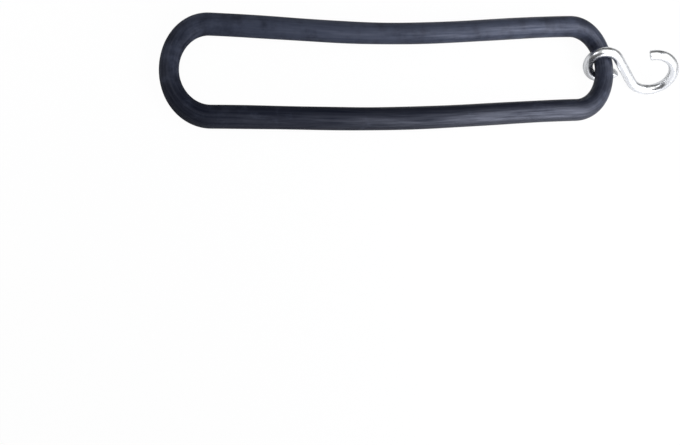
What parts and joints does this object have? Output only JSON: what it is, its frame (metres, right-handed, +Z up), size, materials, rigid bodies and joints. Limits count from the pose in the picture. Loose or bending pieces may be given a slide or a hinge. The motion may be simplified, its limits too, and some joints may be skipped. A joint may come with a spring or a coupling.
{
  "type": "rubber bungee ring",
  "caption": "Endless ring of round black rubber cord with a plated steel S-hook closed round its end, for tying down a tarpaulin, a tent or a load.",
  "frame": {"origin": "on the ground that the ring lies on, under the middle of the whole part's box", "axes": "+X along the ring towards the hook, +Y across the ring from the lower strand to the upper, +Z up"},
  "size_m": [0.2528, 0.0536, 0.0258],
  "materials": {
    "rubber": "moulded rubber, bluish black, soft sheen",
    "plated_steel": "bright plated steel wire"
  },
  "bodies": {
    "ring": {"ring_back_bend": "rubber", "ring_upper_strand": "rubber", "ring_lower_strand": "rubber"},
    "hook_end": {"ring_hook_bend": "rubber"},
    "hook": {"s_hook": "plated_steel"}
  },
  "joints": [
    {"name": "stretch", "type": "slide", "parent": "ring", "child": "hook_end", "axis": [1, 0, 0], "range_m": [0, 0.11], "stiffness_N_per_m": 1500, "deforming": ["ring_upper_strand", "ring_lower_strand"]},
    {"name": "hook_swing", "type": "hinge", "parent": "hook_end", "child": "hook", "pos_m": [0.08882, 0.00277, 0.0099], "axis": [0, -1, 0], "continuous": true}
  ]
}
